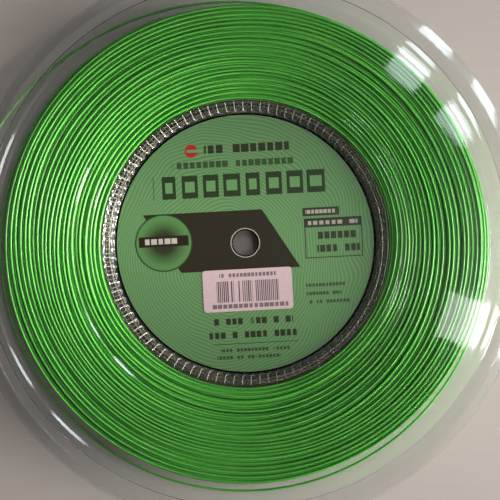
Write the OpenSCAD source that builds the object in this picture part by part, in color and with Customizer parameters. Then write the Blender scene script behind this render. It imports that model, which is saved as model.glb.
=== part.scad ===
// String reel: a flat clear spool made of two formed sheet halves bonded at the hub floor.
// It holds a wound pack of round monofilament whose free end comes out between the two brims.
// Millimetres, +Z up, lying on its rear face, origin on the surface under the middle of the hub.

/* [Reel] */
// Diameter over the brims
reel_d = 286; // [262:1:360]
// Clear width between the flanges where they are closest
inner_w = 12; // [9:0.5:18]
// Thickness of the clear sheet
sheet_t = 0.8; // [0.6:0.05:1.1]
// Width of the flat brim outside the lip
brim_w = 5; // [3:0.5:8]
// Gap between the two brims, which the string is drawn through
brim_gap = 1.85; // [1.6:0.05:3]
// Reach of the sloping lip between the shoulder and the brim
lip_run = 8.5; // [6:0.5:12]

/* [Hub] */
// Diameter of the spindle hole through both hub floors
bore_d = 12.7; // [8:0.1:20]
// Diameter of the hub floor, where the fluted wall starts
hub_floor_d = 132; // [100:1:140]
// Growth in radius of the fluted wall between floor and flange
hub_wall_run = 4.7; // [3:0.1:7]
// Number of flutes round the hub wall
flute_count = 100; // [60:1:110]
// Radius of the groove that forms one flute
flute_r = 2; // [1.4:0.1:2.4]
// Depth of a flute in the hub wall
flute_depth = 0.4; // [0.2:0.05:0.5]
// Distance between the floor and the closed end of a flute, along the wall
flute_start = 1.4; // [1:0.1:2.5]

/* [Flange] */
// Distance from the hub mouth to the crest of the raised ring
crest_offset = 7; // [5:0.5:9]
// Height of the raised ring near the hub
crest_h = 0.8; // [0.5:0.1:1.1]
// Width of the raised ring's flank that faces the hub
crest_flank = 2.2; // [1.8:0.1:4]
// Width of the raised ring's flank that faces the rim
crest_back = 1.7; // [1.2:0.1:3]
// Height of the flat bench between the raised ring and the ring groove
bench_h = 0.4; // [0.2:0.05:0.45]
// Width of the bench
bench_w = 3.7; // [1.5:0.1:6]
// Width of the ring groove's flank outside the bench
groove_flank = 1.6; // [1:0.1:2.5]
// Height of the flange's flat over the ring groove
flat_rise = 0.9; // [0.4:0.1:1.2]
// Width of the slope from the ring groove up to the flat
flat_ramp = 2.2; // [1.8:0.1:4]
// Height of the shoulder that the reel rests on, over the ring groove
shoulder_h = 1.6; // [1.4:0.1:2.4]
// Width of the flat top of the shoulder
shoulder_w = 2.5; // [1.5:0.1:4]
// Width of the slope from the flange up to the shoulder
shoulder_ramp = 1.4; // [1:0.1:2.5]

/* [String] */
// Diameter of the string
string_d = 1.25; // [1.1:0.05:1.4]
// Diameter of the wound pack
pack_d = 240; // [200:1:244]
// Gap between the pack and the sheet around it
pack_clearance = 0.15; // [0.1:0.05:0.5]
// Width of the rounding where the pack sinks towards the hub wall
pack_inner_round_w = 26; // [8:0.5:32]
// Depth of that rounding
pack_inner_round_h = 4; // [1:0.1:4.5]
// Radius of the pack's outer edges
pack_edge_r = 2.5; // [1:0.1:3]
// Gap between the pack and the nearest part of the loose turn
turn_clearance = 0.3; // [0.3:0.05:1]
// Height of the loose turn's bulge over its nearest part
turn_bulge = 3.5; // [2:0.1:5]
// Direction in which the loose turn comes nearest the pack
turn_near_angle = 68; // [0:1:359]
// Angle between the loose turn's hidden start and its nearest part
turn_start_lag = 42; // [36:1:90]
// How much wider the way out curves than the tightest curve that still clears the brims
run_out_spare = 7.36; // [3:0.01:15]
// Distance outside the brims at which the string counts as free
exit_offset = 0.7; // [0.7:0.1:3]

/* [Label] */
// Gap between the label's edge and the start of the hub wall
label_inset = 0.5; // [0.2:0.1:3]
// Diameter of the hole in the label
label_hole_d = 14; // [13:0.5:30]
// Thickness of the label
label_t = 0.25; // [0.1:0.05:0.5]
// Length of the code sticker
sticker_l = 45; // [20:1:60]
// Width of the code sticker
sticker_w = 21; // [10:1:30]
// Thickness of the code sticker
sticker_t = 0.12; // [0.08:0.02:0.3]
// Corner radius of the code sticker
sticker_corner_r = 1.5; // [0.5:0.1:4]
// Distance from the hub's axis to the middle of the sticker
sticker_offset = 23.6; // [20:0.1:40]
// Tilt of the sticker
sticker_tilt = 3; // [-10:1:10]

/* [Hidden] */
$fn = 180;
CLEAR_SHEET = [0.86, 0.91, 0.93, 0.35];
STRING_GREEN = [0.25, 0.72, 0.22];
overcut = 0.2;           // how far a cut runs past the face it leaves through
arc_steps = 5;           // straight steps in one rounded corner of a section

reel_r = reel_d / 2;
half_w = inner_w / 2;
mid_z = half_w + shoulder_h + sheet_t;   // height of the plane where the halves meet
foot_r = reel_r - brim_w;
shoulder_r = foot_r - lip_run;
hub_floor_r = hub_floor_d / 2;
hub_mouth_r = hub_floor_r + hub_wall_run;
hub_slope = atan2(half_w, hub_wall_run);
crest_r = hub_mouth_r + crest_offset;
bench_r = crest_r + crest_back;
groove_r = bench_r + bench_w + groove_flank;

// Corners of a shell's string side, as [radius, height over the middle plane, rounding]
SHELL_CORNERS = [
    [bore_d / 2, 0, 0],
    [hub_floor_r, 0, 0.8],
    [hub_mouth_r, half_w, 1],
    [crest_r - crest_flank, half_w, 3],
    [crest_r, half_w + crest_h, 2],
    [bench_r, half_w + bench_h, 2],
    [bench_r + bench_w, half_w + bench_h, 1.5],
    [groove_r, half_w, 1.5],
    [groove_r + flat_ramp, half_w + flat_rise, 3],
    [shoulder_r - shoulder_w - shoulder_ramp, half_w + flat_rise, 0.6],
    [shoulder_r - shoulder_w, half_w + shoulder_h, 0.6],
    [shoulder_r, half_w + shoulder_h, 0.8],
    [foot_r, brim_gap / 2, 1.6],
    [reel_r, brim_gap / 2, 0],
];

function unit(a, b) = (b - a) / norm(b - a);
function left_of(d) = [-d[1], d[0]];

// Points of the arc of radius r that rounds the corner p between a and b
function arc_points(a, p, b, r) =
    let (
        u = unit(p, a),
        v = unit(p, b),
        half = acos(u * v) / 2,
        centre = p + (u + v) / norm(u + v) * r / sin(half),
        from = (p + u * r / tan(half) - centre) / r,
        to = (p + v * r / tan(half) - centre) / r,
        turn = acos(from * to)
    )
    [for (k = [0 : arc_steps])
        centre + r * (sin((1 - k / arc_steps) * turn) * from + sin(k / arc_steps * turn) * to) / sin(turn)];

// A section line through corners given as [x, y, rounding]
function rounded_line(corners) = [
    for (i = [0 : len(corners) - 1])
        let (p = [corners[i][0], corners[i][1]])
        if (corners[i][2] == 0) p
        else
            let (a = [corners[i - 1][0], corners[i - 1][1]], b = [corners[i + 1][0], corners[i + 1][1]])
            for (q = arc_points(a, p, b, corners[i][2])) q
];

// Point i of a line moved to its left by t, square to the steps on both sides of it
function moved_left(line, i, t) =
    let (
        last = len(line) - 1,
        before = unit(line[max(i - 1, 0)], line[max(i, 1)]),
        after = unit(line[min(i, last - 1)], line[min(i + 1, last)]),
        m = left_of(before) + left_of(after)
    )
    line[i] + m * 2 * t / (m * m);

SHELL_LINE = rounded_line(SHELL_CORNERS);
SHELL_OUTSIDE = [for (i = [len(SHELL_LINE) - 1 : -1 : 0]) moved_left(SHELL_LINE, i, sheet_t)];

// The grooves that flute the hub wall, cut into its open side
module flute_cuts() {
    lift = flute_r - flute_depth + sheet_t;
    for (i = [0 : flute_count - 1])
        rotate([0, 0, i * 360 / flute_count])
            translate([hub_floor_r, 0, 0])
                rotate([0, 90 - hub_slope, 0])
                    translate([-lift, 0, flute_start + sheet_t])
                        cylinder(r = flute_r, h = norm([hub_wall_run, half_w]), $fn = 32);
}

// One formed half with its string side down, standing on the middle plane
module shell_half() {
    difference() {
        rotate_extrude() polygon(concat(SHELL_LINE, SHELL_OUTSIDE));
        flute_cuts();
    }
}

module front_shell() {
    color(CLEAR_SHEET) translate([0, 0, mid_z]) shell_half();
}

module rear_shell() {
    color(CLEAR_SHEET) translate([0, 0, mid_z]) rotate([180, 0, 0]) shell_half();
}

// Printed disc on the floor of the front hub cup
label_z = mid_z + sheet_t;
label_r = hub_floor_r - sheet_t - label_inset;

module hub_label() {
    color([0.35, 0.5, 0.33])
        translate([0, 0, label_z])
            difference() {
                cylinder(r = label_r, h = label_t);
                translate([0, 0, -overcut]) cylinder(d = label_hole_d, h = label_t + 2 * overcut);
            }
}

module code_sticker() {
    inner = [sticker_l - 2 * sticker_corner_r, sticker_w - 2 * sticker_corner_r];
    color([0.93, 0.88, 0.87])
        translate([0, 0, label_z + label_t])
            rotate([0, 0, sticker_tilt])
                translate([0, -sticker_offset, 0])
                    linear_extrude(sticker_t)
                        union() {
                            square([sticker_l, inner[1]], center = true);
                            square([inner[0], sticker_w], center = true);
                            for (x = [-1, 1], y = [-1, 1])
                                translate([x * inner[0] / 2, y * inner[1] / 2])
                                    circle(r = sticker_corner_r, $fn = 32);
                        }
}

// The wound pack's section: it follows the hub wall, sinks near the hub and has soft outer edges
pack_r = pack_d / 2;
pack_half_w = half_w - pack_clearance;
pack_gap = pack_clearance / sin(hub_slope);
pack_low = pack_half_w - pack_inner_round_h;
pack_foot_r = hub_floor_r + pack_gap;
pack_wall_r = pack_foot_r + pack_low / tan(hub_slope);
PACK_HALF = [
    [pack_wall_r, pack_low, 0],
    [pack_wall_r + pack_inner_round_w / 3, pack_half_w - pack_inner_round_h / 2, 6],
    [pack_wall_r + pack_inner_round_w, pack_half_w, 8],
    [pack_r, pack_half_w, pack_edge_r],
    [pack_r, 0, 0],
];

module wound_string() {
    upper = rounded_line(PACK_HALF);
    lower = [for (i = [len(upper) - 2 : -1 : 0]) [upper[i][0], -upper[i][1]]];
    color(STRING_GREEN)
        translate([0, 0, mid_z])
            rotate_extrude() polygon(concat([[pack_foot_r, 0]], upper, lower));
}

// The loose outer turn runs on a circle that is off the reel's axis, and then out on a wider one
string_r = string_d / 2;
near_r = pack_r + turn_clearance + string_r;
turn_r = near_r + turn_bulge / 2;
exit_r = reel_r + exit_offset;
run_out_r = (near_r + exit_r) / 2 + run_out_spare;
run_out_shift = run_out_r - near_r;
run_out_angle = acos((run_out_r ^ 2 + run_out_shift ^ 2 - exit_r ^ 2) / (2 * run_out_r * run_out_shift));

// A stretch of string along an arc of radius r that starts near_r from the axis
module string_arc(r, sweep) {
    translate([near_r - r, 0, 0])
        rotate_extrude(angle = sweep) translate([r, 0]) circle(r = string_r, $fn = 32);
}

module loose_turn() {
    color(STRING_GREEN)
        translate([0, 0, mid_z])
            rotate([0, 0, turn_near_angle]) {
                string_arc(turn_r, turn_start_lag - 360);
                string_arc(run_out_r, run_out_angle);
            }
}

// Route of the free end from the brims: distance along the way out, distance to the reel's side
// and the share of the drop from the middle plane to the surface that the reel lies on
TAIL_ROUTE = [
    [0, 0, 0], [4, 0, 0], [8, 0.2, 0.02], [12, 0.4, 0.07], [16, 0.8, 0.15], [20, 1.3, 0.25],
    [24, 1.9, 0.37], [28, 2.6, 0.5], [32, 3.4, 0.63], [36, 4.3, 0.75], [40, 5.3, 0.85], [44, 6.5, 0.93],
    [48, 7.8, 0.98], [52, 9.2, 1], [56, 10.8, 1], [60, 12.5, 1], [64, 14.3, 1], [68, 16.3, 1],
    [72, 18.4, 1], [76, 20.6, 1], [80, 23, 1], [84, 25.5, 1], [88, 28.1, 1], [92, 30.9, 1],
];
tail_sides = 8;
tail_drop = mid_z - string_r - 0.05;

// Ring of points round the string at point i of the route, square to the way that it runs
function tail_ring(points, i) =
    let (
        along = i == 0 ? [1, 0, 0] : points[min(i + 1, len(points) - 1)] - points[i - 1],
        forward = along / norm(along),
        side = cross([0, 0, 1], forward) / norm(cross([0, 0, 1], forward)),
        up = cross(forward, side)
    )
    [for (k = [0 : tail_sides - 1])
        points[i] + string_r * (cos(k * 360 / tail_sides) * side + sin(k * 360 / tail_sides) * up)];

module string_tail() {
    points = [for (p = TAIL_ROUTE) [p[0], p[1], -p[2] * tail_drop]];
    last = len(points) - 1;
    rings = [for (i = [0 : last]) each tail_ring(points, i)];
    sides = [
        for (i = [0 : last - 1], k = [0 : tail_sides - 1])
            let (a = i * tail_sides, next = (k + 1) % tail_sides)
            [a + k, a + tail_sides + k, a + tail_sides + next, a + next]
    ];
    start_cap = [for (k = [0 : tail_sides - 1]) k];
    end_cap = [for (k = [tail_sides - 1 : -1 : 0]) last * tail_sides + k];
    color(STRING_GREEN)
        translate([0, 0, mid_z])
            rotate([0, 0, turn_near_angle])
                translate([near_r - run_out_r, 0, 0])
                    rotate([0, 0, run_out_angle])
                        translate([run_out_r, 0, 0])
                            rotate([0, 0, 90])
                                polyhedron(concat(rings), concat([start_cap], sides, [end_cap]));
}

front_shell();
rear_shell();
hub_label();
code_sticker();
wound_string();
loose_turn();
string_tail();
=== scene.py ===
import math

import bpy
import numpy as np
from mathutils import Matrix, Vector


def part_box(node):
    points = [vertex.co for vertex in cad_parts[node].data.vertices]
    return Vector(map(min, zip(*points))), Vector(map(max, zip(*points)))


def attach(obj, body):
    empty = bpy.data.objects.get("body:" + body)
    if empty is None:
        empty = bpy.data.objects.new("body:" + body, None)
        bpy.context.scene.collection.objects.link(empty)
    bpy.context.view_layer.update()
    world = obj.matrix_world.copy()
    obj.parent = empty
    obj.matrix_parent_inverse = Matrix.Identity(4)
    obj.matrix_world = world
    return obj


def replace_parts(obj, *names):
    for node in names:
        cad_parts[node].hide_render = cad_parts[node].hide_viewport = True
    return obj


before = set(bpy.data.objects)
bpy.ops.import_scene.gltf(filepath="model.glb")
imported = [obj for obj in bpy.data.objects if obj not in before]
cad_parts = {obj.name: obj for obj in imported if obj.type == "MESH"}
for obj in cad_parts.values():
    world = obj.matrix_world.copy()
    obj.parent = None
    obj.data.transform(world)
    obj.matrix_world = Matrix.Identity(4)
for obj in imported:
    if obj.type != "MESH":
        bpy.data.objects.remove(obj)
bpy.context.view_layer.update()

# Driving sizes in millimetres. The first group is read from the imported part, the second repeats part.scad.
MM = 0.001
front_low, front_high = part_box("front_shell")
REEL_R = front_high.x / MM
MID_Z = front_low.z / MM
TOP_Z = front_high.z / MM
PACK_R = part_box("wound_string")[1].x / MM
PACK_HALF_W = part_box("wound_string")[1].z / MM - MID_Z

STRING_R = 0.625
SHEET_T = 0.8
HALF_W = 6.0
BRIM_W = 5.0
BRIM_GAP = 1.85
LIP_RUN = 8.5
BORE_R = 6.35
HUB_FLOOR_R = 66.0
HUB_WALL_RUN = 4.7
FLUTES = 100
FLUTE_DEPTH = 0.4
FLUTE_START = 1.4
FLUTE_HALF_W = 1.2
CREST_OFFSET = 7.0
CREST_H = 0.8
CREST_FLANK = 2.2
CREST_BACK = 1.7
BENCH_H = 0.4
BENCH_W = 3.7
GROOVE_FLANK = 1.6
FLAT_RISE = 0.9
FLAT_RAMP = 2.2
SHOULDER_H = TOP_Z - MID_Z - HALF_W - SHEET_T
SHOULDER_W = 2.5
SHOULDER_RAMP = 1.4
PACK_GAP = 0.15
PACK_ROUND_W = 26.0
PACK_ROUND_H = 4.0
PACK_EDGE_R = 2.5

HUB_MOUTH_R = HUB_FLOOR_R + HUB_WALL_RUN
FOOT_R = REEL_R - BRIM_W
SHOULDER_R = FOOT_R - LIP_RUN
FLUTE_PITCH = 2 * math.pi * (HUB_FLOOR_R + HUB_WALL_RUN / 2) / FLUTES
WALL_LENGTH = math.hypot(HUB_WALL_RUN, HALF_W)
WALL_DIRECTION = np.array([HUB_WALL_RUN, HALF_W]) / WALL_LENGTH
TO_STRING = np.array([WALL_DIRECTION[1], -WALL_DIRECTION[0]])
CREST_R = HUB_MOUTH_R + CREST_OFFSET
BENCH_R = CREST_R + CREST_BACK
GROOVE_R = BENCH_R + BENCH_W + GROOVE_FLANK

# The loose turn and the way out, as in part.scad
TURN_NEAR_ANGLE = math.radians(68)
TURN_START_LAG = math.radians(42)
NEAR_R = PACK_R + 0.3 + STRING_R
TURN_R = NEAR_R + 3.5 / 2
EXIT_R = REEL_R + 0.7
RUN_OUT_R = (NEAR_R + EXIT_R) / 2 + 7.36
RUN_OUT_SHIFT = RUN_OUT_R - NEAR_R
RUN_OUT_ANGLE = math.acos(
    (RUN_OUT_R**2 + RUN_OUT_SHIFT**2 - EXIT_R**2) / (2 * RUN_OUT_R * RUN_OUT_SHIFT)
)
TAIL_ROUTE = [
    (0, 0, 0), (4, 0, 0), (8, 0.2, 0.02), (12, 0.4, 0.07), (16, 0.8, 0.15), (20, 1.3, 0.25),
    (24, 1.9, 0.37), (28, 2.6, 0.5), (32, 3.4, 0.63), (36, 4.3, 0.75), (40, 5.3, 0.85),
    (44, 6.5, 0.93), (48, 7.8, 0.98), (52, 9.2, 1), (56, 10.8, 1), (60, 12.5, 1), (64, 14.3, 1),
    (68, 16.3, 1), (72, 18.4, 1), (76, 20.6, 1), (80, 23, 1), (84, 25.5, 1), (88, 28.1, 1), (92, 30.9, 1),
]
TAIL_DROP = MID_Z - STRING_R - 0.05


def make_camera():
    """A lens a little to the right of the hub that looks almost straight down, shifted back to frame it.

    width is how much of the reel's middle plane the frame spans, and lean tips the view off straight down.
    """
    distance, aside, lean = 0.34, 0.015, math.radians(1.0)
    width, sensor = 0.2525, 36
    aim = Vector((0.0023, -0.0036, MID_Z * MM))
    back = Vector((0, -math.sin(lean), math.cos(lean)))
    right = Vector((1, 0, 0))
    up = back.cross(right)
    camera = bpy.data.objects.new("camera", bpy.data.cameras.new("camera"))
    camera.location = aim + back * distance + right * aside
    camera.rotation_mode = "QUATERNION"
    camera.rotation_quaternion = Matrix((right, up, back)).transposed().to_quaternion()
    camera.data.sensor_width = sensor
    camera.data.lens = sensor * distance / width
    camera.data.shift_x = -aside / width
    camera.data.clip_start = 0.01
    bpy.context.scene.collection.objects.link(camera)
    bpy.context.scene.camera = camera


make_camera()


# ---------------------------------------------------------------- materials


class Field:
    """A number that varies over a surface: a node socket with arithmetic."""

    def __init__(self, tree, socket):
        self.tree, self.socket = tree, socket

    def math(self, operation, *others, clamp=False):
        node = self.tree.nodes.new("ShaderNodeMath")
        node.operation, node.use_clamp = operation, clamp
        for i, value in enumerate((self, *others)):
            if isinstance(value, Field):
                self.tree.links.new(value.socket, node.inputs[i])
            else:
                node.inputs[i].default_value = value
        return Field(self.tree, node.outputs[0])

    def __add__(self, other):
        return self.math("ADD", other)

    def __sub__(self, other):
        return self.math("SUBTRACT", other)

    def __mul__(self, other):
        return self.math("MULTIPLY", other)

    def __truediv__(self, other):
        return self.math("DIVIDE", other)

    def __abs__(self):
        return self.math("ABSOLUTE")

    def __neg__(self):
        return self * -1.0

    def most(self, other):
        return self.math("MAXIMUM", other)

    def power(self, other):
        return self.math("POWER", other)

    def sine(self):
        return self.math("SINE")

    def root(self):
        return self.math("SQRT")

    def clamped(self):
        return self.math("ADD", 0.0, clamp=True)

    def over(self, edge, soft):
        return ((self - edge) / soft).math("ADD", 0.5, clamp=True)

    def under(self, edge, soft):
        return (-(self - edge) / soft).math("ADD", 0.5, clamp=True)


class Surface:
    """A new material with a Principled shader, and the fields that its look is made of."""

    def __init__(self, name, **values):
        self.material = bpy.data.materials.new(name)
        self.material.use_nodes = True
        self.tree = self.material.node_tree
        self.tree.nodes.clear()
        self.shader = self.node("ShaderNodeBsdfPrincipled")
        self.output = self.node("ShaderNodeOutputMaterial")
        self.link(self.shader.outputs[0], self.output.inputs[0])
        self.place = self.node("ShaderNodeTexCoord").outputs["Object"]
        split = self.node("ShaderNodeSeparateXYZ")
        self.link(self.place, split.inputs[0])
        scale = 1 / MM
        self.x, self.y, self.z = (Field(self.tree, s) * scale for s in split.outputs)
        for key, value in values.items():
            self.shader.inputs[key.replace("_", " ")].default_value = value

    def node(self, kind):
        return self.tree.nodes.new(kind)

    def link(self, a, b):
        self.tree.links.new(a.socket if isinstance(a, Field) else a, b)

    def vector(self, x, y, z):
        node = self.node("ShaderNodeCombineXYZ")
        for value, socket in zip((x, y, z), node.inputs):
            if isinstance(value, Field):
                self.link(value, socket)
            else:
                socket.default_value = value
        return node.outputs[0]

    def noise(self, vector, scale=1.0, detail=2.0, roughness=0.5):
        node = self.node("ShaderNodeTexNoise")
        self.link(vector, node.inputs["Vector"])
        node.inputs["Scale"].default_value = scale
        node.inputs["Detail"].default_value = detail
        node.inputs["Roughness"].default_value = roughness
        return Field(self.tree, node.outputs[0])

    def ramp(self, factor, stops):
        node = self.node("ShaderNodeValToRGB")
        elements = node.color_ramp.elements
        while len(elements) < len(stops):
            elements.new(0.5)
        for element, (position, color) in zip(elements, stops):
            element.position, element.color = position, (*color, 1)
        self.link(factor, node.inputs[0])
        return node.outputs[0]

    def mixed(self, factor, a, b):
        node = self.node("ShaderNodeMix")
        node.data_type = "RGBA"
        self.link(factor, node.inputs["Factor"])
        for value, name in ((a, 6), (b, 7)):
            if isinstance(value, tuple):
                node.inputs[name].default_value = (*value, 1)
            else:
                self.link(value, node.inputs[name])
        return node.outputs[2]

    def bump(self, height, distance, strength=1.0):
        node = self.node("ShaderNodeBump")
        node.inputs["Distance"].default_value = distance * MM
        node.inputs["Strength"].default_value = strength
        self.link(height, node.inputs["Height"])
        self.link(node.outputs[0], self.shader.inputs["Normal"])

    def use(self, socket, value):
        self.link(value, self.shader.inputs[socket])


def clear_sheet():
    """Formed clear sheet: glass that lets lamp light through, with faint waves and fine scratches.

    The outlines of the flutes carry painted pale lines, a painted highlight for the light edges of the
    flutes, broken up by noise.
    """
    tint, edge_line_color = (0.97, 0.985, 0.985), (0.10, 0.092, 0.075)
    s = Surface("clear_sheet", Base_Color=(*tint, 1), Roughness=0.03, IOR=1.45)
    s.shader.inputs["Transmission Weight"].default_value = 1.0
    waves = s.noise(s.place, scale=45, detail=2)
    scratches = s.noise(s.vector(s.x * 2.4, s.y * 0.09, s.z), detail=3, roughness=0.7)
    other_way = s.noise(s.vector(s.x * 0.08, s.y * 2.1, s.z), detail=3, roughness=0.7)
    s.bump(waves * 0.35 + (scratches.power(6.0) + other_way.power(6.0)) * 0.04, 0.2)
    radius = (s.x * s.x + s.y * s.y).root()
    up = (radius - HUB_FLOOR_R) * WALL_DIRECTION[0] + abs(s.z - MID_Z) * WALL_DIRECTION[1]
    turn = s.y.math("ARCTAN2", s.x) * (FLUTES / (2 * math.pi)) + 0.5
    aside = abs(turn.math("FRACT") - 0.5) * FLUTE_PITCH
    below = (-(up - FLUTE_START - FLUTE_HALF_W)).most(0.0)
    edge = abs((aside * aside + below * below).root() - FLUTE_HALF_W)
    # Painted highlight: pale lines along the flute outlines stand in for the light edges of the flutes;
    # noise breaks them up.
    edge_line_breaks = s.noise(s.vector(s.x * 0.8, s.y * 0.8, s.z), detail=2).over(0.42, 0.35) * 0.5 + 0.5
    painted_edge_lines = edge.under(0.13, 0.16) * up.over(0.7, 0.2) * up.under(WALL_LENGTH - 0.4, 0.4) * edge_line_breaks
    s.use("Base Color", s.mixed(painted_edge_lines, tint, edge_line_color))
    s.use("Transmission Weight", painted_edge_lines * -0.6 + 1.0)
    s.use("Roughness", painted_edge_lines * 0.35 + 0.03)
    paths = s.node("ShaderNodeLightPath").outputs
    shadow = Field(s.tree, paths["Is Shadow Ray"]).most(Field(s.tree, paths["Is Diffuse Ray"]))
    passing = s.node("ShaderNodeBsdfTransparent")
    passing.inputs[0].default_value = (0.93, 0.94, 0.94, 1)
    mix = s.node("ShaderNodeMixShader")
    s.link(shadow, mix.inputs[0])
    s.link(s.shader.outputs[0], mix.inputs[1])
    s.link(passing.outputs[0], mix.inputs[2])
    s.link(mix.outputs[0], s.output.inputs[0])
    return s.material


def string_green():
    """Extruded filament: saturated green, a slight sheen along its length, streaks that follow the turns,
    and painted shade next to the hub mouth.
    """
    s = Surface("string_green", Roughness=0.32, IOR=1.5)
    s.shader.inputs["Subsurface Weight"].default_value = 0.45
    s.shader.inputs["Subsurface Radius"].default_value = (0.5, 1.0, 0.4)
    s.shader.inputs["Subsurface Scale"].default_value = 0.0006
    radius = (s.x * s.x + s.y * s.y).root()
    along = s.vector(s.x / radius * 4.0, s.y / radius * 4.0, radius * 0.9 + s.z * 0.9)
    streaks = s.noise(along, scale=1.0, detail=2)
    fine = s.noise(s.vector(s.x * 1.2, s.y * 1.2, s.z * 1.2), detail=2)
    tone = (streaks * 0.75 + fine * 0.25).clamped()
    greens = [(0.3, (0.075, 0.41, 0.045)), (0.5, (0.115, 0.52, 0.065)), (0.7, (0.18, 0.62, 0.095))]
    color = s.ramp(tone, greens)
    # Painted shade: turns next to the hub mouth are painted dark olive, for the shade they lie in by the
    # wall.
    color = s.mixed(radius.under(HUB_MOUTH_R + 1.7, 1.0), color, (0.07, 0.068, 0.04))
    s.use("Base Color", color)
    s.bump(fine, 0.03)
    s.use("Roughness", fine * 0.2 + 0.24)
    return s.material


def string_in_painted_shade():
    """String in painted shade, for turns deep in the pack or seen through the hub wall: a darker copy of the
    green, painted olive next to the hub wall, ringed by its turns.
    """
    s = Surface("string_in_painted_shade", Roughness=0.5)
    radius = (s.x * s.x + s.y * s.y).root()
    streaks = s.noise(s.vector(s.x / radius * 6.0, s.y / radius * 6.0, radius * 1.3 + s.z * 2.0), detail=2)
    inner = radius.under(HUB_MOUTH_R + 0.8, 3.0)
    green = s.ramp(streaks, [(0.35, (0.012, 0.075, 0.006)), (0.65, (0.03, 0.16, 0.015))])
    olive = s.ramp(streaks, [(0.35, (0.038, 0.034, 0.02)), (0.65, (0.085, 0.078, 0.045))])
    s.use("Base Color", s.mixed(inner, green, olive))
    s.bump(streaks, 0.2)
    return s.material


def floor_material():
    """Pale matt table top with faint clouding and grain."""
    s = Surface("table", Roughness=0.6)
    cloud = s.noise(s.place, scale=6, detail=3)
    grain = s.noise(s.vector(s.x * 0.02, s.y * 0.35, s.z), detail=4, roughness=0.65)
    color = s.ramp(cloud * 0.6 + grain * 0.4, [(0.3, (0.80, 0.70, 0.66)), (0.7, (0.86, 0.765, 0.72))])
    s.use("Base Color", color)
    s.bump(grain, 0.03)
    return s.material


INK = (0.022, 0.014, 0.010)
PALE = (0.52, 0.49, 0.44)


class Print(Surface):
    """A printed surface: shapes are fields that are 1 inside and 0 outside, painted over each other."""

    soft = 0.22

    def start(self, color):
        self.color = color

    def paint(self, shape, color, strength=1.0):
        self.color = self.mixed((shape * strength).clamped(), self.color, color)

    def turned(self, degrees):
        """Turns the print about the hub."""
        c, w = math.cos(math.radians(degrees)), math.sin(math.radians(degrees))
        self.x, self.y = self.x * c + self.y * w, self.y * c - self.x * w

    def disc(self, x, y, r):
        return ((self.x - x) * (self.x - x) + (self.y - y) * (self.y - y)).root().under(r, self.soft)

    def box(self, x0, x1, y0, y1):
        across = abs(self.x - (x0 + x1) / 2).under((x1 - x0) / 2, self.soft)
        return across * abs(self.y - (y0 + y1) / 2).under((y1 - y0) / 2, self.soft)

    def frame(self, x0, x1, y0, y1, line):
        return self.box(x0, x1, y0, y1) - self.box(x0 + line, x1 - line, y0 + line, y1 - line)

    def random(self, value, seed):
        node = self.node("ShaderNodeTexWhiteNoise")
        node.noise_dimensions = "1D"
        self.link(value + seed * 17.3, node.inputs["W"])
        return Field(self.tree, node.outputs["Value"])

    def dashes(self, x0, x1, y, height, pitch, seed, fill=0.55):
        """A row of short blocks of uneven length, which stands where a line of print would."""
        cell = (self.x / pitch).math("FLOOR")
        along = (self.x / pitch).math("FRACT")
        chance = self.random(cell, seed)
        width = chance * 0.35 + fill
        block = abs(along - 0.5).under(width * 0.5, self.soft / pitch)
        block = block * chance.over(0.12, 0.02)
        return block * self.box(x0, x1, y - height / 2, y + height / 2)


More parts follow.
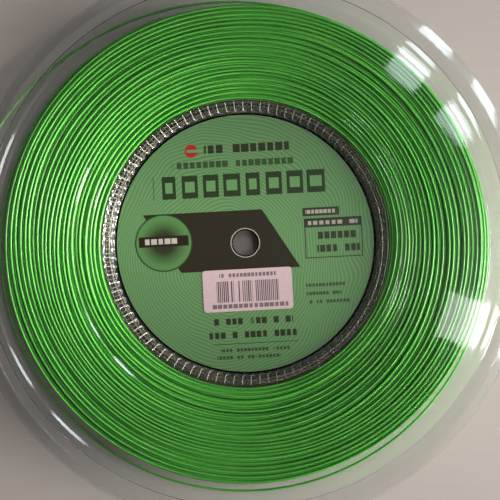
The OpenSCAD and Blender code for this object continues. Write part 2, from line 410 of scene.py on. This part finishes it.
def label_print():
    """Green disc: fine rippled lines, a dark band across the hub, a badge, boxes and rows of blocks."""
    s = Print("label_print", Roughness=0.33)
    s.shader.inputs["Coat Weight"].default_value = 0.4
    s.shader.inputs["Coat Roughness"].default_value = 0.12
    s.turned(3.0)
    bend = s.noise(s.vector(s.x * 0.03, s.y * 0.03, 0.0), detail=1)
    u, v = s.x + 12.0, s.y + 9.0
    distance = (u * u + v * v * 0.8).root() + bend * 14.0
    ripple = (distance * (2 * math.pi / 1.5)).sine() * 0.5 + 0.5
    s.start(s.mixed(ripple, (0.098, 0.232, 0.088), (0.165, 0.32, 0.14)))
    # dark band
    band = abs(s.x + s.y * 0.6 + 11.0).under(30.0, s.soft) * abs(s.y - 1.5).under(15.0, s.soft)
    s.paint(band, INK, 0.97)
    # Painted highlight: a pale ring round the hole, for the bright edge of the bore.
    s.paint(s.disc(0, 0, 7.45), (0.42, 0.39, 0.34))
    # badge at the left
    to_badge = ((s.x + 41.0) * (s.x + 41.0) + (s.y - 2.0) * (s.y - 2.0)).root()
    s.paint(to_badge.under(14.2, 0.3), (0.10, 0.24, 0.08))
    s.paint(to_badge.under(14.2, 0.3) * (-(to_badge - 12.0) / 7.0).clamped(), INK, 0.9)
    s.paint(abs(to_badge - 14.2).under(0.35, 0.3), (0.02, 0.055, 0.012))
    s.paint(s.box(-53.5, -28.5, 0.2, 5.4), INK)
    s.paint(s.dashes(-51.0, -31.0, 2.8, 2.8, 3.4, 4), PALE)
    # rows at the top
    s.paint(s.disc(-25.0, 47.6, 3.3), (0.42, 0.025, 0.02))
    s.paint(s.box(-27.4, -19.4, 46.9, 48.3), (0.16, 0.32, 0.14))
    s.paint(s.dashes(-18.5, 24.5, 48.0, 4.2, 4.3, 5, 0.6), INK, 0.92)
    s.paint(s.dashes(-36.0, 27.0, 40.4, 3.2, 3.3, 6), (0.03, 0.06, 0.02), 0.9)
    s.paint(s.dashes(-45.0, 43.0, 29.5, 11.5, 10.6, 9, 0.52), (0.02, 0.03, 0.012), 0.95)
    s.paint(s.dashes(-45.0, 43.0, 29.5, 5.4, 10.6, 9, 0.22), (0.14, 0.31, 0.12))
    # boxes at the right
    s.paint(s.box(29.5, 48.0, 11.8, 16.0), INK, 0.9)
    s.paint(s.dashes(31.0, 46.5, 13.9, 1.9, 2.1, 9), PALE, 0.8)
    s.paint(s.frame(30.0, 59.0, -9.5, 10.5, 0.5), INK, 0.9)
    s.paint(s.box(30.0, 59.0, 6.0, 10.5), INK, 0.9)
    s.paint(s.dashes(32.0, 57.0, 8.2, 2.0, 3.1, 10), PALE, 0.75)
    s.paint(s.dashes(36.0, 56.0, 1.8, 3.6, 3.3, 11), INK, 0.9)
    s.paint(s.dashes(36.0, 57.5, -4.8, 3.6, 3.1, 12), INK, 0.9)
    for i, end in enumerate((49.0, 47.0, 51.0)):
        s.paint(s.dashes(29.5, end, -23.0 - 4.2 * i, 1.6, 1.7, 13 + i), INK, 0.8)
    # rows at the bottom
    s.paint(s.dashes(-21.0, 22.0, -39.2, 3.2, 3.0, 16), INK, 0.92)
    s.paint(s.dashes(-21.0, 24.0, -46.0, 3.2, 3.0, 17), INK, 0.92)
    s.paint(s.box(-19.0, 24.0, -50.6, -50.2), INK, 0.8)
    s.paint(s.dashes(-15.0, 20.0, -53.6, 1.6, 1.8, 18), INK, 0.8)
    s.paint(s.dashes(-17.0, 15.0, -57.2, 1.6, 1.8, 19), INK, 0.8)
    s.use("Base Color", s.color)
    return s.material


def sticker_print():
    """Pinkish white paper with uneven bars and rows of blocks."""
    s = Print("sticker_paper", Roughness=0.5)
    s.turned(3.0)
    s.y = s.y + 23.6
    s.soft = 0.15
    fiber = s.noise(s.place, scale=900, detail=3)
    s.start(s.ramp(fiber, [(0.3, (0.60, 0.44, 0.475)), (0.7, (0.66, 0.49, 0.525))]))
    s.paint(s.dashes(-14.0, 14.5, 7.6, 1.9, 1.9, 21), INK, 0.75)
    s.soft = 0.08
    bars = s.dashes(-15.6, 15.6, -0.6, 10.6, 0.95, 22, 0.35)
    s.paint(bars, (0.02, 0.015, 0.02), 0.95)
    s.soft = 0.15
    s.paint(s.dashes(-18.5, 20.0, -7.9, 2.1, 2.6, 23), INK, 0.75)
    s.use("Base Color", s.color)
    return s.material


CLEAR = clear_sheet()
GREEN = string_green()
SHADED_STRING = string_in_painted_shade()
LABEL = label_print()
STICKER = sticker_print()


# ---------------------------------------------------------------- string


def smooth_line(points, steps=6):
    """Points on a curve through the given ones."""
    p = np.array([points[0], *points, points[-1]], float)
    a, b, c, d = p[:-3], p[1:-2], p[2:-1], p[3:]
    t = (np.arange(steps) / steps)[None, :, None]
    a, b, c, d = (q[:, None, :] for q in (a, b, c, d))
    line = 0.5 * (2 * b + (c - a) * t + (2 * a - 5 * b + 4 * c - d) * t**2 + (3 * b - a - 3 * c + d) * t**3)
    return np.vstack([line.reshape(-1, 3), p[-1]])


def reel_point(u, v, h):
    """A point in metres from the loose turn's own axes, turned to where it comes nearest the pack."""
    c, s = math.cos(TURN_NEAR_ANGLE), math.sin(TURN_NEAR_ANGLE)
    return np.array([u * c - v * s, u * s + v * c, MID_Z + h]) * MM


def string_curve(name, points):
    """A length of free string along points in metres. It rides with the string's end."""
    data = bpy.data.curves.new(name, "CURVE")
    data.dimensions = "3D"
    spline = data.splines.new("POLY")
    spline.points.add(len(points) - 1)
    for point, place in zip(spline.points, points):
        point.co = (*place, 1)
    data.bevel_depth = STRING_R * MM
    data.bevel_resolution = 3
    data.use_fill_caps = True
    data.materials.append(GREEN)
    piece = bpy.data.objects.new(name, data)
    bpy.context.scene.collection.objects.link(piece)
    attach(piece, "string_end")
    return piece


def make_string_tail():
    """The free end: it leaves between the brims and lies down on the table."""
    c, s = math.cos(RUN_OUT_ANGLE), math.sin(RUN_OUT_ANGLE)
    exit_u, exit_v = RUN_OUT_R * c - RUN_OUT_SHIFT, RUN_OUT_R * s
    points = [
        reel_point(exit_u - a * s - b * c, exit_v + a * c - b * s, -drop * TAIL_DROP)
        for a, b, drop in TAIL_ROUTE
    ]
    line = smooth_line(points)
    tail = string_curve("free_string_end", line)
    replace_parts(tail, "string_tail")


def make_loose_turn():
    """The outermost turn, sprung loose from the pack, and the curve on which it runs out to the brims."""
    turn = np.linspace(TURN_START_LAG, 2 * math.pi, 240)[:-1]
    out = np.linspace(0, RUN_OUT_ANGLE, 80)
    points = [reel_point(NEAR_R - TURN_R + TURN_R * math.cos(a), TURN_R * math.sin(a), 0) for a in turn]
    points += [reel_point(-RUN_OUT_SHIFT + RUN_OUT_R * math.cos(a), RUN_OUT_R * math.sin(a), 0) for a in out]
    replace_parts(string_curve("loose_outer_turn", points), "loose_turn")


make_string_tail()
make_loose_turn()


def add_mesh(name, points, faces, material, smooth_angle=None):
    mesh = bpy.data.meshes.new(name)
    mesh.from_pydata([tuple(p) for p in points], [], faces)
    mesh.polygons.foreach_set("use_smooth", np.ones(len(mesh.polygons), bool))
    if smooth_angle:
        mesh.set_sharp_from_angle(angle=math.radians(smooth_angle))
    mesh.materials.append(material)
    mesh.update()
    piece = bpy.data.objects.new(name, mesh)
    bpy.context.scene.collection.objects.link(piece)
    return piece


def fast_mesh(name, points, quads, material):
    """A mesh from arrays: points in metres and faces of four corners."""
    mesh = bpy.data.meshes.new(name)
    mesh.vertices.add(len(points))
    mesh.vertices.foreach_set("co", np.asarray(points, np.float32).ravel())
    mesh.loops.add(len(quads) * 4)
    mesh.loops.foreach_set("vertex_index", np.asarray(quads, np.int32).ravel())
    mesh.polygons.add(len(quads))
    mesh.polygons.foreach_set("loop_start", np.arange(0, len(quads) * 4, 4, dtype=np.int32))
    mesh.polygons.foreach_set("use_smooth", np.ones(len(quads), bool))
    mesh.update(calc_edges=True)
    mesh.validate()
    mesh.materials.append(material)
    piece = bpy.data.objects.new(name, mesh)
    bpy.context.scene.collection.objects.link(piece)
    return piece


def rounded_line(corners, steps):
    """A section line through corners given as (radius, height, rounding)."""
    line = []
    for i, (r, h, rounding) in enumerate(corners):
        p = np.array([r, h], float)
        if rounding == 0:
            line.append(p)
            continue
        u = np.array(corners[i - 1][:2]) - p
        v = np.array(corners[i + 1][:2]) - p
        u, v = u / np.linalg.norm(u), v / np.linalg.norm(v)
        half = math.acos(u @ v) / 2
        centre = p + (u + v) / np.linalg.norm(u + v) * rounding / math.sin(half)
        a = (p + u * rounding / math.tan(half) - centre) / rounding
        b = (p + v * rounding / math.tan(half) - centre) / rounding
        turn = math.acos(a @ b)
        for k in range(steps + 1):
            w = k / steps
            out = (math.sin((1 - w) * turn) * a + math.sin(w * turn) * b) / math.sin(turn)
            line.append(centre + rounding * out)
    return np.array(line)


WALL_SLOPE = math.atan2(HALF_W, HUB_WALL_RUN)
PACK_LOW = PACK_HALF_W - PACK_ROUND_H
PACK_FOOT_R = HUB_FLOOR_R + PACK_GAP / math.sin(WALL_SLOPE)
PACK_WALL_R = PACK_FOOT_R + PACK_LOW / math.tan(WALL_SLOPE)
PACK_LINE = rounded_line(
    [
        (PACK_WALL_R, PACK_LOW, 0),
        (PACK_WALL_R + PACK_ROUND_W / 3, PACK_HALF_W - PACK_ROUND_H / 2, 6),
        (PACK_WALL_R + PACK_ROUND_W, PACK_HALF_W, 8),
        (PACK_R, PACK_HALF_W, PACK_EDGE_R),
        (PACK_R, 0, 0),
    ],
    5,
)


def pack_surface(radius):
    """Height of the pack's face over the middle plane, at a radius."""
    return np.interp(radius, PACK_LINE[:-1, 0], PACK_LINE[:-1, 1])


def clear_of_wall(radius, height):
    """The radius at which a turn of string at this height just clears the fluted wall, or more."""
    room = STRING_R + FLUTE_DEPTH + 0.1
    least = HUB_FLOOR_R + (room + height * math.cos(WALL_SLOPE)) / math.sin(WALL_SLOPE)
    return np.maximum(radius, least)


STEPS = 240  # steps round the reel in one turn of string
SIDES = 8  # sides of the drawn string
ANGLES = np.arange(STEPS) * 2 * math.pi / STEPS


def wobble(random, count, low, high, size):
    """A smooth closed wobble for each of count turns, of about the given size."""
    waves = np.arange(low, high + 1)
    phase = random.uniform(0, 2 * math.pi, (count, len(waves), 1))
    share = random.normal(0, 1, (count, len(waves), 1)) / np.sqrt(len(waves))
    return size * (share * np.cos(waves[None, :, None] * ANGLES + phase)).sum(1)


def drift(random, radius):
    """How the winding wanders in and out, shared by turns that lie near each other."""
    total = np.zeros_like(radius)
    for wave in range(1, 5):
        for _ in range(3):
            reach = random.uniform(22, 60)
            a, b = random.uniform(0, 2 * math.pi, 2)
            size = random.normal(0, 0.55) / wave**0.5
            total += size * np.cos(wave * ANGLES + a) * np.cos(2 * math.pi * radius / reach + b)
    return total


def settled(place, lowest, rounds=60):
    """Pushes overlapping turns apart at every angle. place is (turns, steps, [radius, height])."""
    reach = 2 * STRING_R
    count = len(place)
    for step in range(rounds):
        gap = place[:, None] - place[None]
        distance = np.sqrt((gap**2).sum(-1)) + np.eye(count)[:, :, None] * 99
        push = np.clip(reach - distance, 0, None) / distance
        place = place + 0.35 * (gap * push[..., None]).sum(1)
        ceiling = pack_surface(place[..., 0]) - STRING_R + 0.2
        place[..., 1] = np.minimum(place[..., 1], ceiling)
        place[..., 1] = np.maximum(place[..., 1], lowest)
        place[..., 0] = clear_of_wall(place[..., 0], place[..., 1])
        if step % 4 == 3:
            for _ in range(3):
                place = 0.5 * place + 0.25 * (np.roll(place, 1, 1) + np.roll(place, -1, 1))
    return place


def tubes(name, place, side, material=GREEN):
    """Closed rings of string. side is 1 for the front and -1 for the rear."""
    radius, height = place[..., 0], place[..., 1] * side + MID_Z
    centre = np.stack([radius * np.cos(ANGLES), radius * np.sin(ANGLES), height], -1)
    along = np.roll(centre, -1, 1) - np.roll(centre, 1, 1)
    along /= np.linalg.norm(along, axis=-1, keepdims=True)
    out = np.cross(along, [0, 0, 1])
    out /= np.linalg.norm(out, axis=-1, keepdims=True)
    up = np.cross(out, along)
    turn = np.arange(SIDES) * 2 * math.pi / SIDES
    ring = STRING_R * (np.cos(turn)[:, None] * out[:, :, None] + np.sin(turn)[:, None] * up[:, :, None])
    points = (centre[:, :, None] + ring) * MM
    count = len(place)
    index = np.arange(count * STEPS * SIDES).reshape(count, STEPS, SIDES)
    ahead, beside = np.roll(index, -1, 1), np.roll(index, -1, 2)
    both = np.roll(ahead, -1, 2)
    quads = np.stack([index, beside, both, ahead], -1).reshape(-1, 4)
    piece = fast_mesh(name, points.reshape(-1, 3), quads, material)
    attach(piece, "reel")
    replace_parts(piece, "wound_string")


def face_turns(seed):
    """Turns of string that lie against one flange: a top layer, and two more seen between them."""
    random = np.random.default_rng(seed)
    pitch = 2 * STRING_R * math.sqrt(3)
    inner = PACK_WALL_R + 1.2
    starts, layers = [], []
    for layer in range(3):
        radius = np.arange(inner + (pitch / 2 if layer == 1 else 0), PACK_R - STRING_R, pitch)
        starts.append(radius)
        layers.append(np.full(len(radius), layer))
    start, layer = np.concatenate(starts), np.concatenate(layers)
    radius = start[:, None] + wobble(random, len(start), 1, 3, 0.4)
    edge = np.clip((start - HUB_FLOOR_R) / 12, 0.2, 1)[:, None]
    radius = radius + edge * drift(random, radius)
    depth = layer[:, None] * STRING_R * 1.02 + np.clip(wobble(random, len(start), 1, 3, 0.35), -0.2, 0.9)
    height = pack_surface(radius) - STRING_R - depth
    place = settled(np.stack([radius, height], -1), 0.7)
    return place, layer


front_place, front_layer = face_turns(11)
rear_place, rear_layer = face_turns(23)
tubes("front_face_turns", front_place[front_layer == 0], 1)
tubes("front_lower_turns", front_place[front_layer > 0], 1)
tubes("rear_face_turns", rear_place[rear_layer == 0], -1)
tubes("rear_lower_turns", rear_place[rear_layer > 0], -1)


def edge_turns():
    """Turns along the pack's outer surface, and the first turns against the hub wall."""
    random = np.random.default_rng(31)
    height = np.linspace(-PACK_HALF_W + PACK_EDGE_R, PACK_HALF_W - PACK_EDGE_R, 6)
    radius = PACK_R - STRING_R - 0.1 + wobble(random, len(height), 1, 5, 0.12)
    place = np.stack([radius, height[:, None] + wobble(random, len(height), 1, 4, 0.1)], -1)
    tubes("outer_turns", place, 1)
    height = np.array([-1.95, -0.65, 0.65, 1.95])[:, None] + np.zeros(STEPS)
    radius = clear_of_wall(0, np.abs(height)) + np.abs(wobble(random, 4, 1, 6, 0.1))
    # Painted shade: the first turns against the hub wall get the string painted in its shade.
    tubes("first_turns", np.stack([radius, height], -1), 1, SHADED_STRING)


def string_core():
    """The turns that nothing shows of: one body just under the turns that are drawn."""
    sink, steps = 2.1, 180
    top = [(r - (sink if r > PACK_R - PACK_EDGE_R else 0), h - sink) for r, h in PACK_LINE[:-1]]
    inner = (PACK_WALL_R + 1.4, max(PACK_LOW - sink, 0.2))
    upper = [inner] + [p for p in top if p[0] > inner[0] + 0.5 and p[1] > 0.2]
    rows = np.array(upper + [(r, -h) for r, h in upper[::-1]])
    turn = np.arange(steps) * 2 * math.pi / steps
    points = np.stack(
        [rows[:, :1] * np.cos(turn), rows[:, :1] * np.sin(turn), MID_Z + rows[:, 1:] + 0 * turn], -1
    )
    index = np.arange(len(rows) * steps).reshape(len(rows), steps)
    ahead, out = np.roll(index, -1, 1), np.roll(index, -1, 0)
    quads = np.stack([index, ahead, np.roll(out, -1, 1), out], -1).reshape(-1, 4)
    # Painted shade: the core is painted in the string's shade colour.
    piece = fast_mesh("string_core", points.reshape(-1, 3) * MM, quads, SHADED_STRING)
    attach(piece, "reel")
    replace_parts(piece, "wound_string")


edge_turns()
string_core()


# ---------------------------------------------------------------- shells


def moved_left(line, t):
    """The line moved by t to its left, with its corners kept."""
    step = np.diff(line, axis=0)
    step /= np.linalg.norm(step, axis=1, keepdims=True)
    left = np.stack([-step[:, 1], step[:, 0]], 1)
    m = np.vstack([left[:1], left]) + np.vstack([left, left[-1:]])
    return line + m * 2 * t / (m**2).sum(1, keepdims=True)


def with_wall_rows(line):
    """Adds rows up the fluted wall, closest together where the flutes end."""
    rows = []
    up_wall = [0.9, 1.2, 1.5, 1.8, 2.1, 2.6, 3.4, 4.4, 5.4, 6.3]
    for i, p in enumerate(line):
        if i and line[i - 1][0] < HUB_FLOOR_R + 1 < p[0]:
            base = np.array([HUB_FLOOR_R, 0.0])
            for s in up_wall:
                rows.append(base + WALL_DIRECTION * s)
        rows.append(p)
    return np.array(rows)


FLUTE_SAMPLES = np.array([-0.5, -0.33, -0.295, -0.265, -0.23, -0.12, 0, 0.12, 0.23, 0.265, 0.295, 0.33])
COARSE_EVERY = 3  # rows away from the flutes keep every third sample


def flute_push(distance_up):
    """How far a flute pushes the wall towards the string, at each fine step round."""
    aside = np.abs(np.tile(FLUTE_SAMPLES, FLUTES)) * FLUTE_PITCH
    below = max(0.0, FLUTE_START + FLUTE_HALF_W - distance_up)
    edge = np.hypot(aside, below) - FLUTE_HALF_W
    inside = np.clip(0.5 - edge / 0.3, 0, 1)
    run_out = np.clip((WALL_LENGTH + 0.4 - distance_up) / 0.8, 0, 1)
    return FLUTE_DEPTH * inside * inside * (3 - 2 * inside) * run_out


def make_shell(name, node, side):
    """One half of the reel: a sheet along the section line, finer in steps where the wall is fluted."""
    corners = [
        (BORE_R, 0, 0),
        (HUB_FLOOR_R, 0, 0.8),
        (HUB_MOUTH_R, HALF_W, 1),
        (CREST_R - CREST_FLANK, HALF_W, 3),
        (CREST_R, HALF_W + CREST_H, 2),
        (BENCH_R, HALF_W + BENCH_H, 2),
        (BENCH_R + BENCH_W, HALF_W + BENCH_H, 1.5),
        (GROOVE_R, HALF_W, 1.5),
        (GROOVE_R + FLAT_RAMP, HALF_W + FLAT_RISE, 3),
        (SHOULDER_R - SHOULDER_W - SHOULDER_RAMP, HALF_W + FLAT_RISE, 0.6),
        (SHOULDER_R - SHOULDER_W, HALF_W + SHOULDER_H, 0.6),
        (SHOULDER_R, HALF_W + SHOULDER_H, 0.8),
        (FOOT_R, BRIM_GAP / 2, 1.6),
        (REEL_R, BRIM_GAP / 2, 0),
    ]
    line = rounded_line(corners, 5)
    line = with_wall_rows(line)
    outside = moved_left(line, SHEET_T)
    rows = [*line, *outside[::-1]]
    source = [*line, *line[::-1]]
    points, starts, counts = [], [], []
    fine_turn = (np.arange(FLUTES)[:, None] + FLUTE_SAMPLES).ravel() * 2 * math.pi / FLUTES
    coarse_turn = fine_turn[::COARSE_EVERY]
    for p, q in zip(rows, source):
        up = float((q - np.array([HUB_FLOOR_R, 0])) @ WALL_DIRECTION)
        fine = 0.3 < up < WALL_LENGTH + 1.2 and q[0] < HUB_MOUTH_R + 1
        turn = fine_turn if fine else coarse_turn
        push = flute_push(up) if fine else np.zeros(len(turn))
        r = p[0] + push * TO_STRING[0]
        h = p[1] + push * TO_STRING[1]
        starts.append(sum(counts))
        counts.append(len(turn))
        points.append(np.stack([r * np.cos(turn), side * r * np.sin(turn), MID_Z + side * h], 1))
    faces = []
    for i in range(len(rows)):
        j = (i + 1) % len(rows)
        a, b, na, nb = starts[i], starts[j], counts[i], counts[j]
        steps = min(na, nb)
        ka, kb = na // steps, nb // steps
        for k in range(steps):
            low = [a + (k * ka + m) % na for m in range(ka + 1)]
            high = [b + (k * kb + m) % nb for m in range(kb + 1)]
            faces.append([*low, *high[::-1]])
    piece = add_mesh(name, np.vstack(points) * MM, faces, CLEAR, smooth_angle=50)
    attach(piece, "reel")
    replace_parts(piece, node)


make_shell("front_clear_shell", "front_shell", 1)
make_shell("rear_clear_shell", "rear_shell", -1)

for node, material in (("hub_label", LABEL), ("code_sticker", STICKER)):
    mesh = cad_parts[node].data
    mesh.materials.clear()
    mesh.materials.append(material)


# ---------------------------------------------------------------- floor and light


def make_floor():
    """A plain table top, a tenth of a millimetre under the reel."""
    size, top = 5.0, -0.0001
    floor = add_mesh(
        "table_top",
        [(-size, -size, top), (size, -size, top), (size, size, top), (-size, size, top)],
        [[0, 1, 2, 3]],
        floor_material(),
    )


def hang(light, place, back):
    """Hangs a lamp at a place, with its back turned the given way."""
    lamp = bpy.data.objects.new(light.name, light)
    lamp.location = place
    lamp.rotation_mode = "QUATERNION"
    lamp.rotation_quaternion = back.to_track_quat("Z", "Y")
    bpy.context.scene.collection.objects.link(lamp)
    return lamp


def area_light(
    name, azimuth, elevation, distance, size, power, color=(1, 1, 1), aside=0.0, spread=180, lift=0.0
):
    """A soft box that faces the hub. aside moves it sideways, in metres, and lift turns it upwards."""
    a, e = math.radians(azimuth), math.radians(elevation)
    toward = Vector((math.cos(a) * math.cos(e), math.sin(a) * math.cos(e), math.sin(e)))
    across = Vector((-math.sin(a), math.cos(a), 0))
    light = bpy.data.lights.new(name, "AREA")
    light.shape, light.size, light.size_y = "RECTANGLE", size[0], size[1]
    light.energy, light.color, light.spread = power, color, math.radians(spread)
    lamp = hang(light, toward * distance + across * aside, toward - Vector((0, 0, lift)))
    lamp.visible_camera = False


def make_room(tree):
    """Pale walls round the table, and a dim ceiling above them."""
    background = tree.nodes["Background"]
    background.inputs[0].default_value = (0.82, 0.74, 0.69, 1)
    direction = tree.nodes.new("ShaderNodeTexCoord")
    parts = tree.nodes.new("ShaderNodeSeparateXYZ")
    tree.links.new(direction.outputs["Generated"], parts.inputs[0])
    height = Field(tree, parts.outputs[2])
    tree.links.new((height.under(0.16, 0.32) * 0.45 + 0.06).socket, background.inputs[1])


def sun_patch():
    """A soft round patch of warmer light on the turns left of the hub."""
    light = bpy.data.lights.new("sun_patch", "SPOT")
    light.energy, light.color = 44, (1.0, 0.98, 0.88)
    light.spot_size, light.spot_blend, light.shadow_soft_size = math.radians(12), 1.0, 0.05
    place, aim = Vector((0.62, -0.08, 0.24)), Vector((-0.084, 0.014, 0.012))
    hang(light, place, place - aim)


def make_light():
    """A low key light from the right, and panes overhead that are mirrored in the clear sheet."""
    area_light("low_window", -8, 11, 0.75, (0.5, 0.2), 3.2, (1.0, 0.97, 0.93), spread=60, lift=0.26)
    area_light("high_window", -17.7, 65.6, 1.23, (0.10, 0.30), 0.8, (1.0, 0.99, 0.97))
    for i, aside in enumerate((-0.078, 0.078)):
        area_light(f"blue_pane_{i}", 45, 64.7, 1.22, (0.08, 0.16), 0.4, (0.84, 0.93, 1.0), aside)
    # Three panes that overlap less and less, so that their mirrored edge is soft
    for i in range(3):
        size = (1.2 - 0.1 * i, 0.66 - 0.11 * i)
        area_light(f"bright_ceiling_{i}", 0, 64 - 1.5 * i, 1.68, size, 0.54 - 0.11 * i, (1.0, 0.96, 0.92))
    sun_patch()
    world = bpy.data.worlds.new("room")
    world.use_nodes = True
    make_room(world.node_tree)
    bpy.context.scene.world = world
    bpy.context.scene.view_settings.view_transform = "Standard"


make_floor()
make_light()
